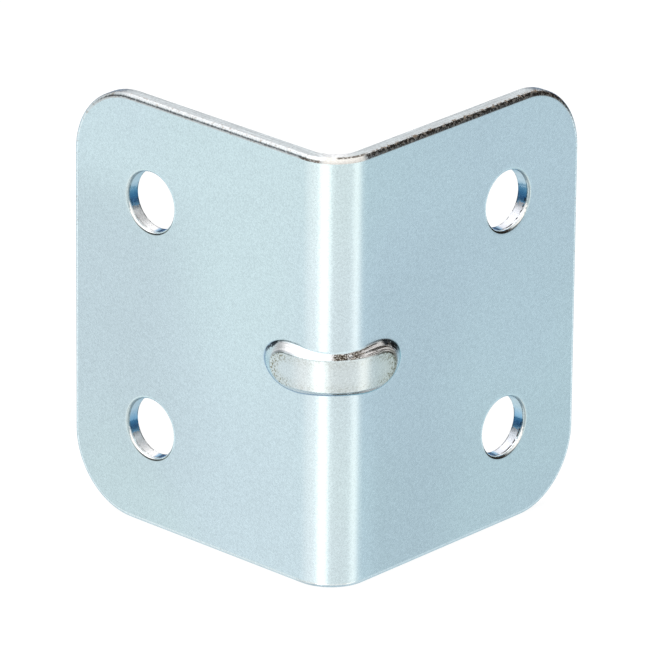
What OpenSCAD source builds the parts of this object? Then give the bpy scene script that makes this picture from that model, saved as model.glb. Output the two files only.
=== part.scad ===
// Corner brace bracket, folded from one piece of zinc-plated sheet steel.
// Two square wings stand at a right angle to each other, joined by a rounded
// fold. Each wing has two punched screw holes, and a bead pressed outwards
// across the middle of the fold stiffens it.
// The fold runs up +Z, and the wings run along +X and +Y from it, so their
// outer faces look towards -Y and -X. The brace stands on z = 0, with its
// overall box centred on the Z axis.

/* [Sheet] */
// Height of the brace, along the fold
height = 36.5; // [32:0.5:60]
// Length of each wing, from the outer corner of the fold
wing = 28.6; // [26:0.2:45]
// Thickness of the sheet
sheet = 1.2; // [0.8:0.1:1.5]
// Inner radius of the fold
fold_r = 2.4; // [1.2:0.1:4]
// Radius of the free corners of the wings
corner_r = 6.2; // [2:0.2:8]
// Rounding that the press leaves on the edges of the outer face
roll_r = 0.3; // [0.1:0.05:0.4]

/* [Screw holes] */
// Diameter of the screw holes
hole_d = 5; // [3:0.1:6.4]
// Distance from the outer corner of the fold to the hole centres
hole_out = 20.1; // [14:0.1:22]
// Distance between the two holes of a wing
hole_pitch = 19.5; // [12:0.5:24]

/* [Bead] */
// Width of the bead at its foot, along the fold
bead_w = 4.2; // [3.4:0.1:6]
// How far the bead stands out from the wings
bead_out = 0.75; // [0.5:0.05:0.9]
// How far each long flank of the bead leans in, from its foot to its face
bead_lean = 0.75; // [0.4:0.05:0.9]
// How far it stands out at the middle of the fold
bead_fold_out = 0.48; // [0.3:0.02:0.6]
// Length of the straight stretch of the bead on each wing
bead_run = 0.45; // [0.2:0.05:4]
// Length of the rounded end of the bead on each wing
bead_end = 2.9; // [2:0.1:4]
// Rounding of the rim of the face of the bead
bead_rim_r = 0.2; // [0.1:0.05:0.3]

/* [Hidden] */
$fn = 96;
zinc = [0.77, 0.85, 0.88];
// Outer radius of the fold
fold_out_r = fold_r + sheet;
// Radius of the face of the bead round the fold, which gives both its heights
bead_r = fold_out_r + (sqrt(2) * bead_out - bead_fold_out) / (sqrt(2) - 1);
// Centre of the turn of the bead, from the outer faces of the wings
turn = bead_r - bead_out;
// Lean of the flanks for each millimetre of height
lean = bead_lean / bead_out;
// What the inner side of a pressed flank loses against its outer side
tuck = sheet * tan(atan2(bead_out, bead_lean) / 2);
// Half width of the face of the bead, outside and inside
face_outer = bead_w / 2 - bead_lean;
face_inner = face_outer - tuck;
// How far a cutter runs past the face that it opens
over = 0.5;
// How deep the flank of the bead enters the arc of its rim, to meet it cleanly
bite = 0.0005;
// Moves the outer corner of the fold so that the overall box is centred
shift = (wing - bead_out) / 2;

// Cut edge of the sheet in section: x is the depth below the outer face,
// y runs into the sheet from the cut edge, which has its outer corner rolled
module rolled_corner() {
    difference() {
        square(roll_r);
        translate([roll_r, roll_r]) circle(roll_r);
    }
}

// Strip of the sheet between two cut edges, in section
module strip_section(width) {
    difference() {
        square([sheet, width]);
        rolled_corner();
        translate([0, width]) mirror([0, 1]) rolled_corner();
    }
}

// Margin of the sheet in section, with its cut edge at the given distance
module margin_section(width) {
    difference() {
        square([width, sheet]);
        translate([width, 0]) mirror([1, 0]) rolled_corner();
    }
}

// Wing along +X, with its outer face on y = 0
module wing_blank() {
    straight = wing - corner_r - fold_out_r;
    translate([fold_out_r, 0, 0]) rotate([90, 0, 90])
        linear_extrude(straight) strip_section(height);
    translate([wing - corner_r, 0, corner_r])
        linear_extrude(height - 2 * corner_r) margin_section(corner_r);
    for (top = [0, 1])
        translate([wing - corner_r, 0, top ? height - corner_r : corner_r])
            rotate([-90, -90 * top, 0])
                rotate_extrude(angle = 90) margin_section(corner_r);
}

// The fold, a quarter turn of the strip section
module fold() {
    translate([fold_out_r, fold_out_r, 0]) rotate([0, 0, 180])
        rotate_extrude(angle = 90)
            translate([fold_out_r, 0]) mirror([1, 0]) strip_section(height);
}

// Half section of the bead: x runs from its middle line, y out of the wing
module bead_half(face, top, bottom, rim) {
    slope = atan2(1, lean);
    centre = [face - rim * tan(slope / 2), top - rim];
    polygon([
        [0, bottom],
        [face + lean * (top - bottom), bottom],
        centre + max(0, rim - bite) * [sin(slope), cos(slope)],
        centre + [0, rim],
        [0, top]
    ]);
    if (rim > 0) translate(centre) circle(rim);
}

// Whole section of the bead, with x out of the wing
module bead_section(face, top, bottom, rim) {
    for (side = [0, 1])
        mirror([0, side]) mirror([1, -1]) bead_half(face, top, bottom, rim);
}

// The form of the bead from end to end, at mid height
module bead_form(face, top, bottom, rim, end) {
    foot = face + lean * bead_out;
    translate([turn, turn, 0]) rotate([0, 0, 180])
        rotate_extrude(angle = 90)
            translate([turn, 0]) bead_section(face, top, bottom, rim);
    for (side = [0, 1]) mirror([side, -side, 0]) {
        translate([turn, 0, 0]) rotate([90, 0, 90])
            linear_extrude(bead_run) mirror([1, 0]) bead_section(face, top, bottom, rim);
        translate([turn + bead_run, 0, 0]) scale([end / foot, 1, 1]) rotate([90, 0, 0])
            rotate([0, 0, -90]) rotate_extrude(angle = 180)
                bead_half(face, top, bottom, rim);
    }
}

// Punched hole through the wing along +X, with a rolled outer rim
module screw_hole() {
    rotate([-90, 0, 0]) {
        translate([0, 0, -over]) cylinder(d = hole_d, h = sheet + 2 * over);
        rotate_extrude() difference() {
            translate([hole_d / 2 - roll_r, -over]) square([2 * roll_r, over + roll_r]);
            translate([hole_d / 2 + roll_r, roll_r]) circle(roll_r);
        }
    }
}

module corner_brace() {
    color(zinc) translate([-shift, -shift, 0]) difference() {
        union() {
            fold();
            for (side = [0, 1]) mirror([side, -side, 0]) wing_blank();
            translate([0, 0, height / 2])
                bead_form(face_outer, bead_out, -sheet / 2, bead_rim_r, bead_end);
        }
        translate([0, 0, height / 2])
            bead_form(face_inner, bead_out - sheet, -sheet - over, 0, bead_end - tuck);
        for (side = [0, 1], end = [-1, 1])
            mirror([side, -side, 0])
                translate([hole_out, 0, height / 2 + end * hole_pitch / 2]) screw_hole();
    }
}

corner_brace();
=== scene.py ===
import math

import bmesh
import bpy
from mathutils import Matrix, Vector


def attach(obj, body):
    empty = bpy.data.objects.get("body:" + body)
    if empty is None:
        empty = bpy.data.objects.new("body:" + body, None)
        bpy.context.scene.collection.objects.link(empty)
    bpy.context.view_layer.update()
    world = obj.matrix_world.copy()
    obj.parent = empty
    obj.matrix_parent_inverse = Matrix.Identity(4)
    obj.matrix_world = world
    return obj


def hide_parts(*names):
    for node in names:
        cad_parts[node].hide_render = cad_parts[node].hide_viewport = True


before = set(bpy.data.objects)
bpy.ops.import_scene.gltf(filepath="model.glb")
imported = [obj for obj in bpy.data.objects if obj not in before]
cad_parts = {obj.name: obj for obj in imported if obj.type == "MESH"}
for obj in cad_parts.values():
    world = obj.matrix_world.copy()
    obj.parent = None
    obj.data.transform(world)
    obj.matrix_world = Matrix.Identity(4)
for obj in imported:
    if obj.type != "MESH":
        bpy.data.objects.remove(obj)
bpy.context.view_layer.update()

# Sheet and fold
MM = 0.001
HEIGHT = 36.5 * MM
WING = 28.6 * MM
SHEET = 1.2 * MM
FOLD_RADIUS = 3.6 * MM
CORNER_RADIUS = 6.2 * MM
ROLLED_EDGE = 0.42 * MM
ROLLED_HOLE = 0.26 * MM
BURR_EDGE = 0.04 * MM
FOLD_LENGTH = FOLD_RADIUS * math.pi / 4

# Screw holes
HOLE_RADIUS = 2.5 * MM
HOLE_OUT = 20.1 * MM
HOLE_PITCH = 19.5 * MM

# Bead pressed across the fold
BEAD_OUT = 0.75 * MM
BEAD_LEAN = 0.75 * MM
BEAD_RADIUS = 5.002 * MM
BEAD_TURN = BEAD_RADIUS - BEAD_OUT
BEAD_RUN = 0.45 * MM
BEAD_END = 2.9 * MM
BEAD_END_LEAN = 1.3 * MM
BEAD_FACE = 1.35 * MM
BEAD_RIM_RADIUS = 0.22 * MM
BEAD_FOOT_RADIUS = 0.3 * MM
BEAD_LIFT = 0.1 * MM
BEAD_LOW_TUCK = 0.1 * MM
# What the inner side of a pressed flank loses against its outer side
FLANK_TUCK = SHEET * math.tan(math.atan2(BEAD_OUT, BEAD_LEAN) / 2)
END_TUCK = SHEET * math.tan(math.atan2(BEAD_OUT, BEAD_END_LEAN) / 2)
# The sheet is drawn towards the bead from its foot out to here
DRAWN_FROM, DRAWN_TO = 0.6 * MM, 3.5 * MM

# Moves the outer corner of the fold to its place in the frame
CENTRE_SHIFT = (WING - BEAD_OUT) / 2

# Places along the blank, from the middle of the fold
TURN_STATION = FOLD_LENGTH + BEAD_TURN - FOLD_RADIUS
END_STATION = TURN_STATION + BEAD_RUN
HOLE_STATION = FOLD_LENGTH + HOLE_OUT - FOLD_RADIUS
WING_STATION = FOLD_LENGTH + WING - FOLD_RADIUS

# How finely the blank is divided
FOLD_STEPS = 40
ARC_STEPS = 4
BEAD_END_STEPS = 28
CORNER_STEPS = 20
HOLE_SEGMENTS = 80
ROLLED_EDGE_STEPS, ROLLED_HOLE_STEPS, BURR_STEPS = 6, 5, 2
# Rows on half the face of the bead, as shares of it, and rows beyond the bead, in
# millimetres from its middle line
FACE_ROWS = (0, 0.3, 0.6)
OUTER_ROWS = (3.4, 4.6, 6.6, 9.4, 12.4, 15.0, 17.0)
# Columns from the end of the fold to the end of the bead's turn, as shares of the way
TURN_COLUMNS = (0.33, 0.67, 1)
# Narrow strips beside the foot of the bead, and along the outline and the holes
FOOT_MARGIN = 0.35 * MM
EDGE_MARGIN = 0.55 * MM
# The most that bead_across grows to, in half widths of the face of the bead
ACROSS_LIMIT = 3.0
# The cut edges of a hole lie within this of its circle
HOLE_REACH = 0.1 * MM
# Points nearer to each other than this are in one place, or in one column
SAME_PLACE = 1e-6
SAME_COLUMN = 1e-7

# Material slots of the brace, after slot 0, which is the plate's
CUT_SLOT, HOLE_SLOT, ROLL_SLOT, RIM_SLOT = range(1, 5)


def smooth_step(x, low, high):
    t = min(1.0, max(0.0, (x - low) / (high - low)))
    return t * t * (3 - 2 * t)


# Mesh of the brace

def bead_profile(face):
    """Half section of the bead: distance from its middle line, and rise."""
    slope = math.atan2(BEAD_OUT, BEAD_LEAN)
    rim = face - BEAD_RIM_RADIUS * math.tan(slope / 2)
    foot = face + BEAD_LEAN + BEAD_FOOT_RADIUS * math.tan(slope / 2)
    section = [(face * t, BEAD_OUT) for t in FACE_ROWS]
    for step in range(ARC_STEPS + 1):
        turn = slope * step / ARC_STEPS
        section.append((rim + BEAD_RIM_RADIUS * math.sin(turn),
                        BEAD_OUT - BEAD_RIM_RADIUS * (1 - math.cos(turn))))
    for step in range(ARC_STEPS + 1):
        turn = slope * (1 - step / ARC_STEPS)
        section.append((foot - BEAD_FOOT_RADIUS * math.sin(turn),
                        BEAD_FOOT_RADIUS * (1 - math.cos(turn))))
    section.append((foot + FOOT_MARGIN, 0))
    return section


def cut_blank(face, end):
    """One skin of the flat blank, with its outline, its holes and the grid for the bead."""
    bm = bmesh.new()
    rise = bm.verts.layers.float.new("bead_rise")
    across = bm.verts.layers.float.new("bead_across")
    profile = bead_profile(face)
    upper = [(z * MM, 0) for z in OUTER_ROWS] + [(HEIGHT / 2, 0)]
    half = profile + upper
    rows = [(-z, h) for z, h in reversed(half[1:])] + half
    columns = [FOLD_LENGTH * (2 * i / FOLD_STEPS - 1) for i in range(FOLD_STEPS + 1)]
    beyond = [FOLD_LENGTH + (TURN_STATION - FOLD_LENGTH) * t for t in TURN_COLUMNS]
    beyond += [TURN_STATION + BEAD_RUN / 2, END_STATION]
    columns = [-s for s in reversed(beyond)] + columns + beyond

    # An even grid from -0.5 to 0.5 both ways, whose points then move to the rows and columns
    bmesh.ops.create_grid(bm, x_segments=len(columns) - 1, y_segments=len(rows) - 1, size=0.5)
    for v in bm.verts:
        column = columns[round((v.co.x + 0.5) * (len(columns) - 1))]
        row = rows[round((v.co.y + 0.5) * (len(rows) - 1))]
        v.co = (column, row[0], 0)
        v[rise] = row[1] / BEAD_OUT
        v[across] = min(abs(row[0]) / face, ACROSS_LIMIT)
    for side in (-1, 1):
        round_bead_end(bm, side, face, end, profile[-1][0])
        cut_wing(bm, side)
    bmesh.ops.recalc_face_normals(bm, faces=bm.faces)
    if sum(f.normal.z for f in bm.faces) < 0:
        bmesh.ops.reverse_faces(bm, faces=bm.faces)
    bmesh.ops.inset_region(bm, faces=bm.faces, use_boundary=True, use_even_offset=True,
                           thickness=EDGE_MARGIN, depth=0)
    return bm


def round_bead_end(bm, side, face, end, reach):
    """Turns the last column of the bead grid into the rounded end of the bead."""
    near = [v for v in bm.verts if abs(v.co.x - side * END_STATION) < SAME_COLUMN]
    start = [v for v in near if -SAME_COLUMN < v.co.y < reach + SAME_COLUMN]
    # Each edge once, in a fixed order
    spokes = dict.fromkeys(e for v in start for e in v.link_edges
                           if e.verts[0] in start and e.verts[1] in start)
    before = set(bm.verts)
    bmesh.ops.spin(bm, geom=start + list(spokes), cent=(side * END_STATION, 0, 0),
                   axis=(0, 0, 1), dvec=(0, 0, 0), angle=-side * math.pi,
                   steps=BEAD_END_STEPS, use_merge=False, use_duplicate=False)
    face_end = end - BEAD_END_LEAN
    for v in set(bm.verts) - before:
        out = abs(v.co.x) - END_STATION
        if out > SAME_COLUMN:
            round_out = math.hypot(out, v.co.y)
            reshaped = (round_out * face_end / face if round_out < face else
                        face_end + (round_out - face) * BEAD_END_LEAN / BEAD_LEAN)
            v.co.x = side * (END_STATION + out * reshaped / round_out)
    bmesh.ops.remove_doubles(bm, verts=list(bm.verts), dist=SAME_PLACE)


def cut_wing(bm, side):
    """Outline and holes of one wing of the flat blank, filled up to the bead grid."""
    top = next(v for v in bm.verts
               if (v.co - Vector((side * END_STATION, HEIGHT / 2, 0))).length < SAME_PLACE)
    low = next(v for v in bm.verts
               if (v.co - Vector((side * END_STATION, -HEIGHT / 2, 0))).length < SAME_PLACE)
    edge = [e for e in bm.edges if e.is_boundary
            and all(side * v.co.x > END_STATION - SAME_PLACE for v in e.verts)]
    before = set(bm.edges)
    corner = WING_STATION - CORNER_RADIUS
    turn_height = HEIGHT / 2 - CORNER_RADIUS
    last = top
    for centre, start in ((turn_height, (corner, HEIGHT / 2)),
                          (-turn_height, (WING_STATION, -turn_height))):
        run = bmesh.ops.extrude_vert_indiv(bm, verts=[last])["verts"][0]
        run.co = (side * start[0], start[1], 0)
        turned = bmesh.ops.spin(bm, geom=[run], cent=(side * corner, centre, 0),
                                axis=(0, 0, 1), dvec=(0, 0, 0), angle=-side * math.pi / 2,
                                steps=CORNER_STEPS, use_merge=False,
                                use_duplicate=False)["geom_last"]
        last = next(g for g in turned if isinstance(g, bmesh.types.BMVert))
    bm.edges.new((last, low))
    for height in (-1, 1):
        place = Matrix.Translation((side * HOLE_STATION, height * HOLE_PITCH / 2, 0))
        bmesh.ops.create_circle(bm, segments=HOLE_SEGMENTS, radius=HOLE_RADIUS, matrix=place)
    outline = [e for e in bm.edges if e not in before]
    bmesh.ops.triangle_fill(bm, edges=edge + outline, use_beauty=True, use_dissolve=False,
                            normal=(0, 0, 1))


def press_point(station, along, rise, depth, foot):
    """Where a point of the flat blank lies once the sheet is folded and the bead pressed."""
    run = abs(station)
    radius = FOLD_RADIUS - depth
    if run <= FOLD_LENGTH:
        turn = math.pi / 4 + run / FOLD_RADIUS
        sheet = Vector((FOLD_RADIUS - radius * math.cos(turn),
                        FOLD_RADIUS - radius * math.sin(turn)))
    else:
        sheet = Vector((FOLD_RADIUS + run - FOLD_LENGTH, depth))
    if run <= TURN_STATION:
        centre = Vector((BEAD_TURN, BEAD_TURN))
        inward = (centre - sheet).normalized()
        bead = centre - (BEAD_RADIUS - depth) * inward
    else:
        bead = sheet - Vector((0, BEAD_OUT))
    place = sheet + rise * (bead - sheet)
    away = abs(along)
    drawn = 1 - smooth_step(away, foot + DRAWN_FROM, foot + DRAWN_TO)
    flat = (1 - rise) * (BEAD_OUT - (bead - sheet).length)
    height = math.copysign(away - flat * drawn, along) + BEAD_LIFT * drawn
    if along < 0:
        height += BEAD_LOW_TUCK * drawn * (1 - rise)
    x, y = place if station >= 0 else (place.y, place.x)
    return Vector((x - CENTRE_SHIFT, y - CENTRE_SHIFT, height + HEIGHT / 2))


def press_skin(depth, face, end):
    """One skin of the finished sheet, at the given depth below the outer face."""
    bm = cut_blank(face, end)
    rise = bm.verts.layers.float["bead_rise"]
    station = bm.verts.layers.float.new("blank_station")
    outer = bm.verts.layers.float.new("outer_skin")
    for v in bm.verts:
        v[station] = v.co.x / MM
        v[outer] = 0.0 if depth else 1.0
        v.co = press_point(v.co.x, v.co.y, v[rise], depth, face + BEAD_LEAN)
    mesh = bpy.data.meshes.new("skin")
    bm.to_mesh(mesh)
    bm.free()
    return mesh


def hole_of(edge):
    """The hole whose rim the edge belongs to, or None on the outline."""
    middle = (edge.verts[0].co + edge.verts[1].co) / 2
    for side in (0, 1):
        for height in (-1, 1):
            out = middle[side] + CENTRE_SHIFT - HOLE_OUT
            up = middle.z - HEIGHT / 2 - height * HOLE_PITCH / 2
            if middle[1 - side] < 0 and math.hypot(out, up) < HOLE_RADIUS + HOLE_REACH:
                return (side, height)
    return None


def join_skins():
    """The outer and the inner skin, joined by the cut edges, with the edges rolled."""
    bm = bmesh.new()
    rims = []
    for depth, face, end in ((0, BEAD_FACE, BEAD_END),
                             (SHEET, BEAD_FACE - FLANK_TUCK, BEAD_END - END_TUCK)):
        before = set(bm.edges)
        faces = set(bm.faces)
        mesh = press_skin(depth, face, end)
        bm.from_mesh(mesh)
        bpy.data.meshes.remove(mesh)
        if depth:
            bmesh.ops.reverse_faces(bm, faces=[f for f in bm.faces if f not in faces])
        rims.append([e for e in bm.edges if e not in before and e.is_boundary])

    loops = {}
    for rim in rims:
        for e in rim:
            loops.setdefault(hole_of(e), []).append(e)
    for hole, edges in loops.items():
        cut = bmesh.ops.bridge_loops(bm, edges=edges, use_pairs=False, use_cyclic=False,
                                     use_merge=False, merge_factor=0.5, twist_offset=0)
        for f in cut["faces"]:
            f.material_index = HOLE_SLOT if hole else CUT_SLOT
    outline = [e for e in rims[0] if e in loops[None]]
    holes = [e for e in rims[0] if e not in loops[None]]
    for rim, width, steps, slot in ((outline, ROLLED_EDGE, ROLLED_EDGE_STEPS, ROLL_SLOT),
                                    (holes, ROLLED_HOLE, ROLLED_HOLE_STEPS, RIM_SLOT),
                                    (rims[1], BURR_EDGE, BURR_STEPS, CUT_SLOT)):
        rolled = bmesh.ops.bevel(bm, geom=rim, offset=width, offset_type="OFFSET",
                                 segments=steps, profile=0.5, affect="EDGES",
                                 clamp_overlap=False, loop_slide=True, material=-1)
        for f in rolled["faces"]:
            f.material_index = slot
        if rim is rims[1]:
            for e in {e for f in rolled["faces"] for e in f.edges}:
                e.smooth = False
    bmesh.ops.recalc_face_normals(bm, faces=bm.faces)
    for f in bm.faces:
        f.smooth = True
    return bm


bm = join_skins()
mesh = bpy.data.meshes.new("pressed_corner_brace")
bm.to_mesh(mesh)
bm.free()
brace = bpy.data.objects.new("pressed_corner_brace", mesh)
bpy.context.scene.collection.objects.link(brace)
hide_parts("corner_brace")
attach(brace, "root")


# Materials

class Nodes:
    """Short hand for making and linking the nodes of one tree."""

    def __init__(self, tree):
        self.tree = tree
        tree.nodes.clear()

    def give(self, socket, value):
        if isinstance(value, bpy.types.NodeSocket):
            self.tree.links.new(value, socket)
        else:
            socket.default_value = value

    def make(self, kind, _values=(), **settings):
        """A new node: the values go to its sockets, and the settings to the node itself."""
        node = self.tree.nodes.new(kind)
        for key, value in settings.items():
            setattr(node, key, value)
        for key, value in dict(_values).items():
            self.give(node.inputs[key], value)
        return node

    def math(self, operation, a, b=0.0):
        return self.make("ShaderNodeMath", {0: a, 1: b}, operation=operation).outputs[0]

    def plus(self, first, *others):
        for value in others:
            first = self.math("ADD", first, value)
        return first

    def times(self, first, *others):
        for value in others:
            first = self.math("MULTIPLY", first, value)
        return first

    def axes(self, vector):
        return self.make("ShaderNodeSeparateXYZ", {0: vector}).outputs

    def facing(self):
        """Which way the surface faces, along each axis of the frame."""
        return self.axes(self.make("ShaderNodeTexCoord").outputs["Normal"])

    def attribute(self, name):
        return self.make("ShaderNodeAttribute", attribute_name=name).outputs["Fac"]

    def noise(self, vector, scale, detail=2.0, roughness=0.5):
        values = {"Vector": vector, "Scale": scale, "Detail": detail, "Roughness": roughness}
        return self.make("ShaderNodeTexNoise", values).outputs["Fac"]

    def spread(self, value, low, high, to_low=0.0, to_high=1.0, kind="LINEAR"):
        values = {"Value": value, "From Min": low, "From Max": high,
                  "To Min": to_low, "To Max": to_high}
        return self.make("ShaderNodeMapRange", values, interpolation_type=kind).outputs["Result"]

    def ramp(self, value, start, end, to_start=0.0, to_end=1.0):
        """Goes smoothly from one level to the other between two values."""
        return self.spread(value, start, end, to_start, to_end, "SMOOTHSTEP")

    def band(self, value, start, full, last, end):
        """Rises smoothly from start to full, and falls from last to end."""
        return self.times(self.ramp(value, start, full), self.ramp(value, end, last))

    def mix(self, share, a, b, blend="MIX"):
        node = self.make("ShaderNodeMix", data_type="RGBA", blend_type=blend)
        for socket, value in ((0, share), (6, a), (7, b)):
            self.give(node.inputs[socket], value)
        return node.outputs[2]

    def shade(self, tint, amount):
        """The tint, made lighter or darker by the amount."""
        lift = self.plus(amount, 1.0)
        grey = self.make("ShaderNodeCombineXYZ", {0: lift, 1: lift, 2: lift}).outputs[0]
        return self.mix(1.0, tint, grey, "MULTIPLY")

    def bump(self, strength, distance, height, **extra):
        values = {"Strength": strength, "Distance": distance, "Height": height}
        return self.make("ShaderNodeBump", {**values, **extra}).outputs[0]

    def place_group(self, group, **values):
        """Places a node group; an underscore in a name stands for a space."""
        node = self.make("ShaderNodeGroup", node_tree=group)
        for key, value in values.items():
            self.give(node.inputs[key.replace("_", " ")], value)
        return node.outputs


def colour(red, green, blue):
    return (red, green, blue, 1.0)


# Zinc with a clear blue passivation
ZINC_GREEN = colour(0.600, 0.755, 0.800)
ZINC_BLUE = colour(0.590, 0.730, 0.795)

# Marks of the press on the bead
PALE_FLANK = colour(0.76, 0.775, 0.785)
BURNISHED_LEFT = colour(0.612, 0.715, 0.748)
BURNISHED_RIGHT = colour(0.665, 0.735, 0.705)
OLIVE_WASH = colour(0.56, 0.60, 0.50)
OLIVE_SPECK = colour(0.22, 0.22, 0.15)
BROWN_WASH = colour(0.36, 0.30, 0.235)
BURNT_FLECK = colour(0.045, 0.032, 0.02)
BRIGHT_SCUFF = colour(0.80, 0.785, 0.775)
WORN_RIM = colour(0.16, 0.18, 0.14)
GREY_RIM = colour(0.32, 0.33, 0.35)
# Painted shade in the crease round the foot of the bead
PAINTED_SHADE_CREASE_BLUE = colour(0.20, 0.32, 0.47)
PAINTED_SHADE_CREASE_TEAL = colour(0.20, 0.46, 0.54)
BITE_BLACK = colour(0.012, 0.022, 0.034)

# Cut face of the sheet
CUT_GREY = colour(0.575, 0.638, 0.655)
# Painted highlight on the cut face at the fold
CUT_PAINTED_HIGHLIGHT = colour(0.92, 0.94, 0.94)

# Walls of the holes
# Painted light on the torn part of a hole, white on the left wing and grey on the right
TORN_PAINTED_LIT_WHITE = colour(1.0, 1.0, 1.0)
TORN_PAINTED_LIT_GREY = colour(0.76, 0.78, 0.82)
TORN_SHADOW = colour(0.44, 0.44, 0.45)
# Painted blue reflection on the walls of the holes
WALL_PAINTED_BLUE = colour(0.22, 0.45, 0.66)
NICK_BLACK = colour(0.05, 0.05, 0.05)

# Rolled edges and rims
ROLL_TOP = colour(0.56, 0.60, 0.615)
ROLL_LOW = colour(0.72, 0.835, 0.87)
ROLL_WORN = colour(0.30, 0.24, 0.18)
ROLL_SHADOW = colour(0.10, 0.11, 0.10)
ROLL_BROWN_MOTTLE = colour(0.20, 0.15, 0.105)
# Painted highlight at the top of the fold
ROLL_PAINTED_HIGHLIGHT = colour(0.93, 0.915, 0.87)
ROLL_LINE = colour(0.085, 0.065, 0.045)
RIM_PLATED = colour(0.66, 0.82, 0.86)
# Painted shade on the rims toward the fold, a painted highlight low down, and a painted dark
# reflection along their bottom
RIM_SHADE_TOWARD_FOLD = colour(0.34, 0.43, 0.46)
RIM_PAINTED_HIGHLIGHT = colour(0.84, 0.85, 0.84)
RIM_PAINTED_DARK_LINE = colour(0.10, 0.12, 0.12)


def node_group(name, inputs, outputs):
    """An empty group, with the kind of each input and output socket."""
    group = bpy.data.node_groups.new(name, "ShaderNodeTree")
    n = Nodes(group)
    for label, kind, value in inputs:
        socket = group.interface.new_socket(label, in_out="INPUT", socket_type=kind)
        if value is not None:
            socket.default_value = value
    for label, kind in outputs:
        group.interface.new_socket(label, in_out="OUTPUT", socket_type=kind)
    return group, n, n.make("NodeGroupInput").outputs, n.make("NodeGroupOutput").inputs


VECTOR, VALUE, TINT = "NodeSocketVector", "NodeSocketFloat", "NodeSocketColor"


def plating_grain():
    """Fine crystal grain of the plating and the slow clouds in its shade, both around zero."""
    group, n, given, result = node_group(
        "plating_grain",
        (("Place", VECTOR, None), ("Grain Size", VALUE, 0.13 * MM),
         ("Grain", VALUE, 0.1), ("Clouds", VALUE, 0.03)),
        (("Shade", VALUE), ("Height", VALUE)))
    scale = n.math("DIVIDE", 1.0, given["Grain Size"])
    fine = n.math("SUBTRACT", n.noise(given["Place"], scale, 1.0, 0.6), 0.5)
    slow = n.math("SUBTRACT", n.noise(given["Place"], 70.0, 3.0, 0.55), 0.5)
    n.give(result["Shade"], n.plus(n.times(fine, given["Grain"]),
                                   n.times(slow, given["Clouds"])))
    n.give(result["Height"], fine)
    return group


def press_streaks():
    """Streaks that a tool drags along the metal."""
    group, n, given, result = node_group(
        "press_streaks",
        (("Along", VALUE, 0.0), ("Across", VALUE, 0.0),
         ("Length", VALUE, 1.0), ("Width", VALUE, 0.1)),
        (("Streak", VALUE),))
    vector = n.make("ShaderNodeCombineXYZ", {
        0: n.math("DIVIDE", given["Along"], given["Length"]),
        1: n.math("DIVIDE", given["Across"], given["Width"])}).outputs[0]
    n.give(result["Streak"], n.noise(vector, 1.0, 3.0, 0.6))
    return group


def zinc_drift():
    """Zinc with a clear blue passivation, which drifts between blue and green."""
    group, n, given, result = node_group(
        "zinc_drift", (("Place", VECTOR, None),), (("Tint", TINT),))
    drift = n.ramp(n.noise(given["Place"], 55.0, 1.0, 0.5), 0.35, 0.65)
    n.give(result["Tint"], n.mix(drift, ZINC_BLUE, ZINC_GREEN))
    return group


def brace_places():
    """Places on the brace: across the fold, under the outer face, and below the top edge."""
    group, n, given, result = node_group(
        "brace_places", (("Place", VECTOR, None),),
        (("Across Fold", VALUE), ("Depth", VALUE), ("Below Top", VALUE), ("Right Wing", VALUE)))
    axes = n.axes(given["Place"])
    across = n.math("SUBTRACT", axes["X"], axes["Y"])
    n.give(result["Across Fold"], across)
    n.give(result["Depth"], n.plus(n.math("MINIMUM", axes["X"], axes["Y"]), CENTRE_SHIFT))
    n.give(result["Below Top"], n.math("SUBTRACT", HEIGHT, axes["Z"]))
    n.give(result["Right Wing"], n.spread(across, -1.0 * MM, 1.0 * MM))
    return group


GRAIN = plating_grain()
STREAKS = press_streaks()
ZINC = zinc_drift()
PLACES = brace_places()


def new_material(name):
    """A material, its nodes, and the place of a point on the brace."""
    material = bpy.data.materials.new(name)
    material.use_nodes = True
    n = Nodes(material.node_tree)
    return material, n, n.make("ShaderNodeTexCoord").outputs["Object"]


def finish_metal(n, base, rough, normal, metallic=1.0):
    shader = n.make("ShaderNodeBsdfPrincipled", {"Base Color": base, "Metallic": metallic,
                                                 "Roughness": rough, "Normal": normal})
    n.make("ShaderNodeOutputMaterial", {"Surface": shader.outputs[0]})


class BeadPlaces:
    """Where a point of the plating lies on the blank and on the bead, and its fine flecks."""

    def __init__(self, n, place):
        self.place = place
        # The press marks are on the outer skin only
        self.rise = n.times(n.attribute("bead_rise"), n.attribute("outer_skin"))
        self.across = n.attribute("bead_across")
        # Millimetres along the blank, from the middle of the fold to the right
        self.station = n.attribute("blank_station")
        self.out = n.math("ABSOLUTE", self.station)
        self.high = n.axes(place)["Z"]
        self.face = n.ramp(self.rise, 0.75, 0.98)
        self.flank = n.band(self.rise, 0.02, 0.2, 0.85, 0.98)
        self.upper = n.ramp(self.high, 18.7 * MM, 19.3 * MM)
        self.fleck = n.noise(place, 8500.0, 1.0, 0.6)

    def streaks(self, n, length, width):
        """Streaks along the bead: their length in millimetres, their width in half widths."""
        return n.place_group(STREAKS, Along=self.station, Across=self.across,
                             Length=length, Width=width)["Streak"]


def burnished_face(n, base, at):
    """Face of the bead, with olive and brown specks round its rim."""
    side = n.ramp(at.station, 1.5, 4.5)
    base = n.mix(at.face, base, n.mix(side, BURNISHED_LEFT, BURNISHED_RIGHT))
    rim = n.band(at.across, 0.25, 0.8, 1.0, 1.1)
    stain = n.times(rim, n.ramp(at.out, 2.8, 4.9, 0.25, 1.0), at.face)
    speck = n.ramp(n.noise(at.place, 5600.0, 2.0, 0.75), 0.50, 0.60)
    base = n.mix(n.times(stain, 0.18), base, OLIVE_WASH)
    return n.mix(n.times(stain, speck, 0.95), base, OLIVE_SPECK)


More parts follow.
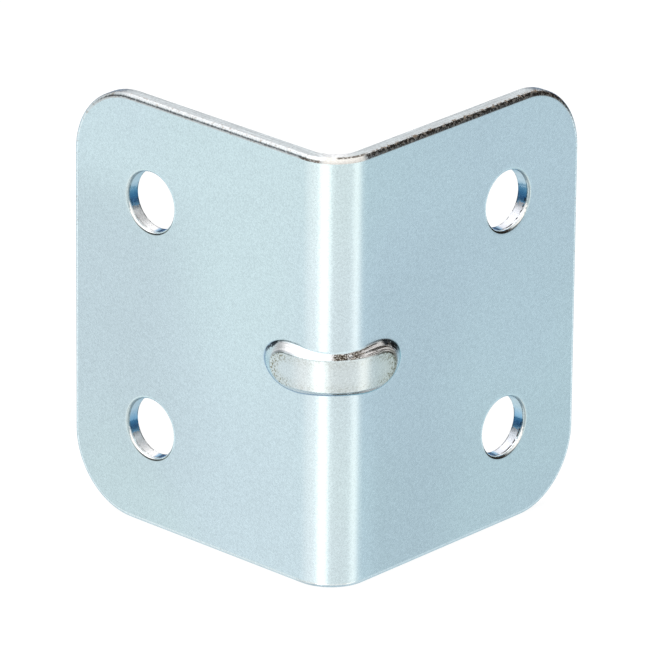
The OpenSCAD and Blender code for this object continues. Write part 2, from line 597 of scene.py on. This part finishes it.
def brown_drag(n, base, at):
    """Brown drag marks on the flank of the bead, beside the fold."""
    brown = n.times(n.band(at.station, -0.3, 0.1, 2.2, 4.2), at.flank)
    drag = at.streaks(n, 0.8, 0.085)
    base = n.mix(n.times(brown, n.ramp(drag, 0.38, 0.50), 0.75), base, BROWN_WASH)
    flecks = n.plus(n.times(drag, 0.35), n.times(at.fleck, 0.65))
    return n.mix(n.times(brown, n.ramp(flecks, 0.46, 0.51), 0.95), base, BURNT_FLECK)


def worn_rims(n, base, at):
    """A dark worn line at the right end of the face, and a thin grey one along its top left."""
    line = n.times(n.band(at.across, 0.80, 0.92, 1.10, 1.25), n.ramp(at.rise, 0.3, 0.7),
                   n.ramp(at.station, 4.6, 5.1), n.ramp(at.fleck, 0.40, 0.56, 0.4, 1.0))
    base = n.mix(n.times(line, 0.85), base, WORN_RIM)
    thin = n.times(n.band(at.rise, 0.74, 0.82, 0.90, 0.96), at.upper,
                   n.ramp(at.station, -2.2, -3.4))
    return n.mix(n.times(thin, 0.6), base, GREY_RIM)


def foot_shade_and_bite(n, base, at):
    """Painted shade in the crease round the foot of the bead, and the bite of the press over each
    end.
    """
    # Painted shade in the crease, left out at the top beside the fold
    painted_crease_shade = n.band(at.rise, 0.0, 0.03, 0.11, 0.28)
    open_foot = n.times(n.ramp(at.high, 18.5 * MM, 19.0 * MM), n.ramp(at.out, 5.9, 5.2))
    painted_crease_shade = n.times(painted_crease_shade, n.math("SUBTRACT", 1.0, open_foot))
    tint = n.mix(n.ramp(at.station, -1.0, 3.0), PAINTED_SHADE_CREASE_BLUE, PAINTED_SHADE_CREASE_TEAL)
    base = n.mix(n.times(painted_crease_shade, 0.65), base, tint)
    reach = n.math("MAXIMUM", n.ramp(at.station, 4.3, 4.8), n.ramp(at.station, -4.7, -5.3))
    bitten_to = n.spread(at.station, -1.0, 1.0, 0.26, 0.47)
    blotch = n.noise(at.place, 2600.0, 2.0, 0.6)
    ragged = n.plus(at.rise, n.spread(blotch, 0.3, 0.7, -0.16, 0.16))
    bite = n.times(n.ramp(at.rise, 0.01, 0.05),
                   n.ramp(n.math("SUBTRACT", ragged, bitten_to), 0.06, -0.06),
                   at.upper, reach, n.ramp(blotch, 0.62, 0.52, 0.25, 1.0))
    return n.mix(n.times(bite, 0.97), base, BITE_BLACK)


def painted_shade_patches(n, at):
    """Painted shade: darker at the end of the left wing below its top, and on the right wing
    beside the fold and low down.
    """
    left = n.times(n.ramp(at.station, -10.0, -21.0, 0.0, -0.09),
                   n.ramp(at.high, 31.0 * MM, 26.0 * MM))
    beside = n.ramp(at.station, 2.5, 5.0)
    right = n.times(beside, n.ramp(at.station, 10.0, 18.0, 1.0, 0.35),
                    n.ramp(at.high, 32.0 * MM, 24.0 * MM, 0.0, -0.045))
    low = n.times(beside, n.ramp(at.high, 15.0 * MM, 7.0 * MM, 0.0, -0.04))
    return n.plus(left, right, low)


def zinc_plate():
    """Bright zinc plating, with the bead burnished and streaked by the press, painted shade round
    its foot, and patches of painted shade.
    """
    material, n, place = new_material("zinc_plate")
    at = BeadPlaces(n, place)
    grain = n.place_group(GRAIN, Place=place, Grain_Size=0.14 * MM, Grain=0.42, Clouds=0.08)
    zinc = n.place_group(ZINC, Place=place)["Tint"]
    base = n.mix(n.times(at.flank, n.ramp(at.out, 5.9, 4.9)), zinc, PALE_FLANK)
    base = burnished_face(n, base, at)
    base = brown_drag(n, base, at)
    # Bright scuffed streaks on the flank, further along
    streak = at.streaks(n, 3.2, 0.11)
    bright = n.times(n.band(at.station, 1.6, 2.6, 5.2, 6.2), at.flank,
                     n.ramp(streak, 0.53, 0.47))
    base = n.mix(bright, base, BRIGHT_SCUFF)
    base = worn_rims(n, base, at)
    base = foot_shade_and_bite(n, base, at)
    base = n.shade(n.shade(base, grain["Shade"]), painted_shade_patches(n, at))
    rough = n.plus(n.spread(grain["Height"], -0.2, 0.2, 0.23, 0.28), n.times(bright, 0.6))
    fine = n.bump(0.12, 0.01 * MM, grain["Height"])
    pulled = n.bump(n.times(at.flank, 0.5), 0.05 * MM, streak, Normal=fine)
    finish_metal(n, base, rough, pulled, n.spread(bright, 0.0, 1.0, 1.0, 0.25))
    return material


def sheared_edge():
    """Cut face of the sheet: greyer and rougher than the skins, with marks of the shear and a
    painted highlight at the fold.
    """
    material, n, place = new_material("sheared_edge")
    at = n.place_group(PLACES, Place=place)
    grain = n.place_group(GRAIN, Place=place, Grain_Size=0.25 * MM, Grain=0.6, Clouds=0.25)
    # Painted highlight, bright at the fold
    beside = n.math("ABSOLUTE", at["Across Fold"])
    painted_highlight = n.ramp(beside, 2.8 * MM, 0.4 * MM, 0.0, 0.75)
    base = n.mix(painted_highlight, CUT_GREY, CUT_PAINTED_HIGHLIGHT)
    # Shear marks run along the edge
    axes = n.axes(place)
    marks = n.place_group(STREAKS, Along=n.plus(at["Across Fold"], axes["Z"]),
                          Across=n.math("MINIMUM", axes["X"], axes["Y"]),
                          Length=3.5 * MM, Width=0.22 * MM)["Streak"]
    base = n.shade(base, n.spread(marks, 0.35, 0.65, -0.16, 0.16))
    base = n.shade(base, grain["Shade"])
    rough = n.spread(grain["Height"], -0.2, 0.2, 0.27, 0.36)
    finish_metal(n, base, rough, n.bump(0.35, 0.03 * MM, grain["Height"]))
    return material


def punched_hole():
    """Wall of a punched hole: burnished by the punch, and torn low down, by the fold, with
    painted light, shade and reflection on the wall.
    """
    material, n, place = new_material("punched_hole")
    at = n.place_group(PLACES, Place=place)
    facing = n.facing()
    grain = n.place_group(GRAIN, Place=place, Grain_Size=0.22 * MM, Grain=0.35, Clouds=0.10)
    # The side away from the fold is burnished all round
    outward = n.plus(facing["X"], facing["Y"])
    ragged = n.plus(facing["Z"], n.times(grain["Height"], 0.35))
    torn = n.times(n.ramp(ragged, 0.37, 0.47), n.ramp(outward, 0.06, -0.10))
    # The torn part is rough and pale; it is painted lighter where it faces up, white on the left
    # wing and grey on the right, with painted shade where it faces up less
    pale = n.mix(at["Right Wing"], TORN_PAINTED_LIT_WHITE, TORN_PAINTED_LIT_GREY)
    pale = n.mix(n.ramp(facing["Z"], 0.40, 0.62), TORN_SHADOW, pale)
    # Painted blue reflection where the wall faces down or sideways, above the torn part
    blue = n.ramp(facing["Z"], -0.50, 0.12, 0.15, 1.0)
    zinc = n.place_group(ZINC, Place=place)["Tint"]
    base = n.mix(torn, n.mix(blue, zinc, WALL_PAINTED_BLUE), pale)
    # Dark nicks beside the rolled rim, and a thin dark burr at the back
    nick = n.times(n.ramp(at["Depth"], 0.44 * MM, 0.38 * MM),
                   n.ramp(n.noise(place, 4300.0, 1.0, 0.6), 0.44, 0.50),
                   n.spread(at["Right Wing"], 0.0, 1.0, 0.35, 1.0),
                   n.ramp(facing["Z"], 0.10, 0.25))
    burr = n.times(n.ramp(at["Depth"], 1.04 * MM, 1.12 * MM),
                   n.ramp(n.noise(place, 2600.0, 1.0, 0.6), 0.40, 0.55))
    dark = n.math("MAXIMUM", nick, n.times(burr, 0.7))
    base = n.mix(n.times(dark, 0.9), base, NICK_BLACK)
    base = n.shade(base, grain["Shade"])
    rough = n.plus(n.spread(grain["Height"], -0.2, 0.2, 0.12, 0.18), n.times(torn, 0.4))
    finish_metal(n, base, rough, n.bump(0.2, 0.03 * MM, grain["Height"]))
    return material


def fold_lines(n, place, at):
    """Two worn lines on the rolled edge, at the top of the fold."""
    right = n.times(n.band(at["Across Fold"], -0.1 * MM, 0.3 * MM, 2.9 * MM, 3.6 * MM),
                    n.ramp(at["Below Top"], 0.09 * MM, 0.05 * MM))
    left = n.times(n.band(at["Across Fold"], -4.2 * MM, -3.6 * MM, -2.1 * MM, -1.4 * MM),
                   n.ramp(at["Below Top"], 0.20 * MM, 0.26 * MM),
                   n.spread(at["Below Top"], 0.6 * MM, 0.8 * MM, 1.0, 0.2))
    speck = n.ramp(n.noise(place, 5200.0, 1.0, 0.6), 0.36, 0.50, 0.3, 1.0)
    return n.times(n.math("MAXIMUM", right, left), speck)


def rolled_edge():
    """Edge that shearing rolls over: its plating is ragged and worn, greyer and mottled brown
    along the top, with painted shade beside the skin and a painted highlight at the fold.
    """
    material, n, place = new_material("rolled_edge")
    at = n.place_group(PLACES, Place=place)
    across, below, axes = at["Across Fold"], at["Below Top"], n.axes(place)
    grain = n.place_group(GRAIN, Place=place, Grain_Size=0.18 * MM, Grain=0.4, Clouds=0.10)
    worn = n.times(n.ramp(n.noise(place, 3300.0, 2.0, 0.7), 0.56, 0.68),
                   n.ramp(axes["Z"], 12.0 * MM, 30.0 * MM, 0.15, 0.55))
    base = n.mix(n.ramp(below, 1.0 * MM, 3.5 * MM), ROLL_TOP, ROLL_LOW)
    base = n.mix(worn, base, ROLL_WORN)
    # Along the top of the right wing: mottled brown, and painted shade beside the skin
    top = n.times(n.ramp(below, 3.5 * MM, 1.0 * MM), n.ramp(across, 3.0 * MM, 5.0 * MM))
    depth = n.plus(axes["Y"], CENTRE_SHIFT)
    beside = n.times(top, n.ramp(depth, 0.26 * MM, 0.08 * MM))
    base = n.mix(n.times(beside, 0.6), base, ROLL_SHADOW)
    brown_mottle = n.times(top, n.ramp(n.noise(place, 3400.0, 2.0, 0.65), 0.50, 0.62),
                   n.ramp(depth, 0.04 * MM, 0.20 * MM, 0.35, 1.0))
    base = n.mix(brown_mottle, base, ROLL_BROWN_MOTTLE)
    # Painted highlight, cream white, at the top of the fold
    painted_highlight = n.times(n.band(across, -2.0 * MM, -0.8 * MM, 2.7 * MM, 3.6 * MM),
                     n.ramp(below, 0.8 * MM, 0.4 * MM))
    base = n.mix(n.times(painted_highlight, 0.85), base, ROLL_PAINTED_HIGHLIGHT)
    base = n.mix(n.times(fold_lines(n, place, at), 0.9), base, ROLL_LINE)
    base = n.shade(base, grain["Shade"])
    dull = n.math("MAXIMUM", brown_mottle, painted_highlight)
    rough = n.plus(n.spread(grain["Height"], -0.2, 0.2, 0.13, 0.2), n.times(dull, 0.5))
    ripple = n.bump(0.5, 0.05 * MM, n.noise(place, 4200.0, 2.0, 0.6))
    finish_metal(n, base, rough, ripple, n.spread(dull, 0.0, 1.0, 1.0, 0.2))
    return material


def rolled_rim():
    """Rim that the punch rolls over: plated like the skins, with painted shade toward the fold
    and a painted highlight low down.
    """
    material, n, place = new_material("rolled_rim")
    at = n.place_group(PLACES, Place=place)
    facing = n.facing()
    grain = n.place_group(GRAIN, Place=place, Grain_Size=0.18 * MM, Grain=0.4, Clouds=0.10)
    # How far the rim faces away from the fold, along its own wing
    left_wing = n.math("SUBTRACT", 1.0, at["Right Wing"])
    away = n.plus(n.times(at["Right Wing"], facing["X"]), n.times(left_wing, facing["Y"]))
    # Painted shade on the part of the rim that faces the fold
    plated = n.mix(n.ramp(away, -0.05, -0.5), RIM_PLATED, RIM_SHADE_TOWARD_FOLD)
    ragged = n.plus(facing["Z"], n.times(grain["Height"], 0.3))
    painted_highlight = n.times(n.ramp(ragged, 0.20, 0.36), n.ramp(away, 0.30, 0.0))
    base = n.shade(n.mix(painted_highlight, plated, RIM_PAINTED_HIGHLIGHT), grain["Shade"])
    # A thin painted dark reflection where the rolling starts, along the bottom of the rim
    start = n.times(n.ramp(at["Depth"], 0.07 * MM, 0.04 * MM),
                    n.ramp(facing["Z"], 0.08, 0.20), n.ramp(away, -0.30, -0.16))
    base = n.mix(n.times(start, 0.85), base, RIM_PAINTED_DARK_LINE)
    rough = n.spread(grain["Height"], -0.2, 0.2, 0.13, 0.2)
    finish_metal(n, base, rough, n.bump(0.3, 0.03 * MM, grain["Height"]))
    return material


# In the order of the material slots
for material in (zinc_plate(), sheared_edge(), punched_hole(), rolled_edge(), rolled_rim()):
    brace.data.materials.append(material)


# Camera, at the photograph's angle. The fold's own frame has its corner at the
# origin at mid height, and looks along the middle of the angle.
AZIMUTH, ELEVATION, ROLL = (math.radians(a) for a in (-2.283, 22.305, 0.558))
DISTANCE = 668.0 * MM
AIM = Vector((-0.381, 8.0, 1.575)) * MM
FOCUS_PIXELS, FRAME_PIXELS = 8447.4, 653
SENSOR = 36.0
CLIP_START, CLIP_END = 0.05, 20.0

TO_FRAME = Matrix.Rotation(-math.pi / 4, 3, "Z")


def studio_direction(azimuth, elevation):
    """Direction to a place of the studio. Azimuth is 0 at the camera and grows to its right."""
    return TO_FRAME @ Vector((math.sin(azimuth) * math.cos(elevation),
                              -math.cos(azimuth) * math.cos(elevation), math.sin(elevation)))


back = studio_direction(AZIMUTH, ELEVATION)
level = TO_FRAME @ Vector((math.cos(AZIMUTH), math.sin(AZIMUTH), 0))
upright = back.cross(level)
right = math.cos(ROLL) * level + math.sin(ROLL) * upright
up = math.cos(ROLL) * upright - math.sin(ROLL) * level
aim = TO_FRAME @ AIM + Vector((-CENTRE_SHIFT, -CENTRE_SHIFT, HEIGHT / 2))
camera = bpy.data.objects.new("camera", bpy.data.cameras.new("camera"))
camera.data.sensor_width = SENSOR
camera.data.lens = FOCUS_PIXELS / FRAME_PIXELS * SENSOR
camera.data.clip_start, camera.data.clip_end = CLIP_START, CLIP_END
camera.matrix_world = Matrix((right, up, back)).transposed().to_4x4()
camera.location = aim + back * DISTANCE
bpy.context.scene.collection.objects.link(camera)
bpy.context.scene.camera = camera


# Light: a soft surround of panels, which the metal mirrors. Each row has the middle of
# a panel (azimuth, elevation), its half widths, its softness, all in degrees, and its colour.
# A later panel covers an earlier one.
SURROUND = colour(0.92, 0.94, 0.945)
PANELS = (
    ("low right", 132, -50, 62, 43, 22, 5, (0.728, 0.797, 0.842)),
    ("low front", 8, -50, 46, 44, 22, 5, (1.01, 0.96, 0.93)),
    ("left wash", -52, -50, 22, 44, 28, 5, (1.27, 1.17, 1.13)),
    ("left strip", -25, -50, 13, 46, 8, 6, (2.0, 1.85, 1.75)),
    ("right strip", 57.5, -50, 8.5, 46, 9, 6, (1.53, 1.41, 1.33)),
    ("left wing light", -112, -24, 6, 10, 6, 6, (1.35, 1.35, 1.35)),
    ("right wing light", 115, -24, 6, 10, 6, 6, (1.35, 1.35, 1.35)),
    ("low back", 180, -32, 56, 15, 8, 8, (0.50, 0.64, 0.71)),
    ("underneath", 180, -80, 180, 22, 5, 10, (0.60, 0.68, 0.74)),
    ("back blue", 180, -12, 34, 7, 12, 8, (0.17, 0.34, 0.47)),
    ("horizon", 140, 1, 60, 6, 8, 5, (0.03, 0.10, 0.25)),
    ("dark back", 170, 10, 35, 4, 10, 4, (0.03, 0.035, 0.04)),
    ("left gap", -99, 13, 19, 12, 8, 6, (0.09, 0.10, 0.11)),
    ("front", 0, 20, 66, 30, 10, 8, (1.22, 1.18, 1.15)),
    ("high left", -88, 57, 88, 21, 8, 6, (1.6, 1.55, 1.55)),
    ("high rim", 163, 43, 12, 8, 5, 5, (1.4, 1.37, 1.36)),
    ("high right", 116, 21, 31, 34, 5, 5, (0.055, 0.042, 0.034)),
    ("high back", 180, 25, 26, 11, 8, 5, (1.08, 1.04, 1.05)),
)


def studio_world():
    """White to the camera, and the surround of panels to the brace."""
    world = bpy.data.worlds.new("studio")
    world.use_nodes = True
    n = Nodes(world.node_tree)
    direction = n.make("ShaderNodeTexCoord").outputs["Generated"]
    turned = n.make("ShaderNodeVectorRotate", {"Vector": direction, "Angle": math.pi / 4},
                    rotation_type="Z_AXIS").outputs[0]
    axes = n.axes(turned)
    azimuth = n.math("DEGREES", n.math("ARCTAN2", axes["X"], n.times(axes["Y"], -1.0)))
    elevation = n.math("DEGREES", n.math("ARCSINE", axes["Z"]))
    surround = SURROUND
    for name, az, el, wide, tall, soft_az, soft_el, tint in PANELS:
        off_az = n.make("ShaderNodeMath", {0: n.math("SUBTRACT", azimuth, az),
                                           1: 180.0, 2: -180.0}, operation="WRAP").outputs[0]
        off_az = n.math("ABSOLUTE", off_az)
        off_el = n.math("ABSOLUTE", n.math("SUBTRACT", elevation, el))
        share = n.times(n.ramp(off_az, wide + soft_az, wide - soft_az),
                        n.ramp(off_el, tall + soft_el, tall - soft_el))
        surround = n.mix(share, surround, colour(*tint))
        surround.node.label = name
    path = n.make("ShaderNodeLightPath").outputs
    seen = n.make("ShaderNodeBackground", {"Color": colour(1, 1, 1)}).outputs[0]
    light = n.make("ShaderNodeBackground", {"Color": surround}).outputs[0]
    both = n.make("ShaderNodeMixShader", {0: path["Is Camera Ray"], 1: light, 2: seen})
    n.make("ShaderNodeOutputWorld", {"Surface": both.outputs[0]})
    return world


bpy.context.scene.world = studio_world()

# Two large softboxes, far enough out to stay behind the camera in every view
SOFTBOX_SIDE = 2.4
SOFTBOX_DISTANCE = 4.0


def softbox(name, azimuth, elevation, radiance):
    lamp = bpy.data.lights.new(name, "AREA")
    lamp.shape, lamp.size = "SQUARE", SOFTBOX_SIDE
    lamp.energy = radiance * math.pi * SOFTBOX_SIDE * SOFTBOX_SIDE
    toward = studio_direction(math.radians(azimuth), math.radians(elevation))
    box = bpy.data.objects.new(name, lamp)
    box.location = toward * SOFTBOX_DISTANCE
    box.rotation_mode = "QUATERNION"
    box.rotation_quaternion = toward.to_track_quat("Z", "Y")
    bpy.context.scene.collection.objects.link(box)


softbox("left_softbox", -75, 58, 0.8)
softbox("back_softbox", -165, 66, 0.5)

# Floor: a white light table, lit evenly from beneath
TABLE_HALF = 4.0
TABLE_GREY = 0.16
TABLE_GLOW = 0.89


def glowing_table():
    """Glows for whoever looks at it, without lighting the brace from below."""
    table = bpy.data.materials.new("light_table")
    table.use_nodes = True
    n = Nodes(table.node_tree)
    path = n.make("ShaderNodeLightPath").outputs
    plain = colour(TABLE_GREY, TABLE_GREY, TABLE_GREY)
    top = n.make("ShaderNodeBsdfDiffuse", {"Color": plain}).outputs[0]
    glow = n.make("ShaderNodeEmission", {"Color": colour(1, 1, 1), "Strength": TABLE_GLOW})
    lit = n.make("ShaderNodeAddShader", {0: top, 1: glow.outputs[0]}).outputs[0]
    seen = n.math("MAXIMUM", path["Is Camera Ray"],
                  n.math("MAXIMUM", path["Is Glossy Ray"], path["Is Transmission Ray"]))
    shown = n.make("ShaderNodeMixShader", {0: seen, 1: top, 2: lit})
    n.make("ShaderNodeOutputMaterial", {"Surface": shown.outputs[0]})
    return table


floor_mesh = bpy.data.meshes.new("light_table")
bm = bmesh.new()
bmesh.ops.create_grid(bm, x_segments=4, y_segments=4, size=TABLE_HALF)
bm.to_mesh(floor_mesh)
bm.free()
floor_mesh.materials.append(glowing_table())
floor = bpy.data.objects.new("light_table", floor_mesh)
bpy.context.scene.collection.objects.link(floor)
# The metal mirrors the studio below the horizon, instead of the table
floor.visible_glossy = False
floor.visible_shadow = False

bpy.context.scene.view_settings.view_transform = "Standard"
